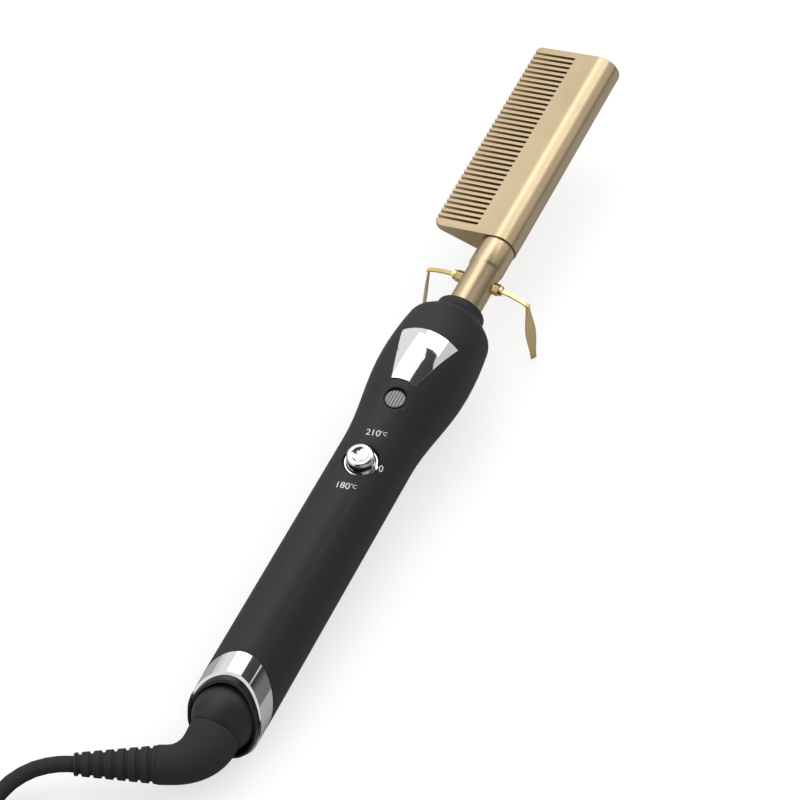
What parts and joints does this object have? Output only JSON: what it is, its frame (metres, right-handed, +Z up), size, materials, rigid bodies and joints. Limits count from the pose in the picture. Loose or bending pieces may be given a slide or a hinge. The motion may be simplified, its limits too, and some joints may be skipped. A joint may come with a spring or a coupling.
{
  "type": "hot comb",
  "caption": "Heated styling comb with a gold toothed head, round black handle, rotary heat knob, pilot lamp, folding wire stand and swivel cord.",
  "frame": {"origin": "on the table, under the middle of the comb's box without its cord", "axes": "+Z up, +Y from the tail to the head of the comb, teeth towards -X, knob on top"},
  "size_m": [0.0902, 0.6409, 0.0509],
  "materials": {
    "handle_plastic": "matt soft-touch black",
    "gold_metal": "satin gold",
    "gold_steel": "satin gold plated",
    "chrome_plastic": "bright chrome plate",
    "black_plastic": "smooth black",
    "cord_rubber": "satin black",
    "insulator": "off-white ceramic",
    "heat_seal": "dark red-brown",
    "steel": "plain steel",
    "contact_brass": "plain brass",
    "board": "green board",
    "lens": "smoky lens",
    "lamp_glass": "small neon lamp"
  },
  "bodies": {
    "comb": {"front_shell": "handle_plastic", "back_shell": "handle_plastic", "heat_ring": "heat_seal", "neck_mount": "insulator", "neck_tube": "gold_steel", "comb_head": "gold_metal", "heater_core": "insulator", "heater_sleeve": "steel", "heater_bead": "insulator", "heater_leads": "steel", "thermal_fuse": "steel", "control_board": "board", "board_parts": "black_plastic", "board_screws": "steel", "shell_screws": "steel", "mains_leads": "contact_brass", "switch_body": "black_plastic", "lamp_lens": "lens", "lamp_holder": "insulator", "lamp_bulb": "lamp_glass", "fan_inlay": "chrome_plastic", "tail_ring": "chrome_plastic", "end_cap": "black_plastic", "contact_carrier": "insulator", "contact_springs": "contact_brass", "stand_bosses": "gold_steel"},
    "knob": {"switch_shaft": "steel", "knob": "chrome_plastic"},
    "swivel": {"swivel_ball": "black_plastic", "swivel_hub": "black_plastic", "slip_rings": "contact_brass", "cord_boot": "cord_rubber", "strain_relief": "cord_rubber", "cord_lead": "cord_rubber", "cord_hank": "cord_rubber", "hank_tie": "cord_rubber", "plug_lead": "cord_rubber", "plug_body": "cord_rubber", "plug_pins": "contact_brass"},
    "left_stand_leg": {"left_leg": "gold_steel", "left_clip": "steel"},
    "right_stand_leg": {"right_leg": "gold_steel", "right_clip": "steel"}
  },
  "joints": [
    {"name": "knob_turn", "type": "hinge", "parent": "comb", "child": "knob", "pos_m": [0.00163, -0.03913, 0.03653], "axis": [0, -0.0834, 0.9965], "range_deg": [-90, 90]},
    {"name": "cord_swivel", "type": "hinge", "parent": "comb", "child": "swivel", "pos_m": [0.00163, -0.14596, 0.01571], "axis": [0, 0.9965, 0.0834], "continuous": true},
    {"name": "left_leg_fold", "type": "hinge", "parent": "comb", "child": "left_stand_leg", "pos_m": [0.00163, 0.06291, 0.0332], "axis": [1, 0, 0], "range_deg": [-90, 10]},
    {"name": "right_leg_fold", "type": "hinge", "parent": "comb", "child": "right_stand_leg", "pos_m": [0.00163, 0.06291, 0.0332], "axis": [1, 0, 0], "range_deg": [-90, 10]}
  ]
}
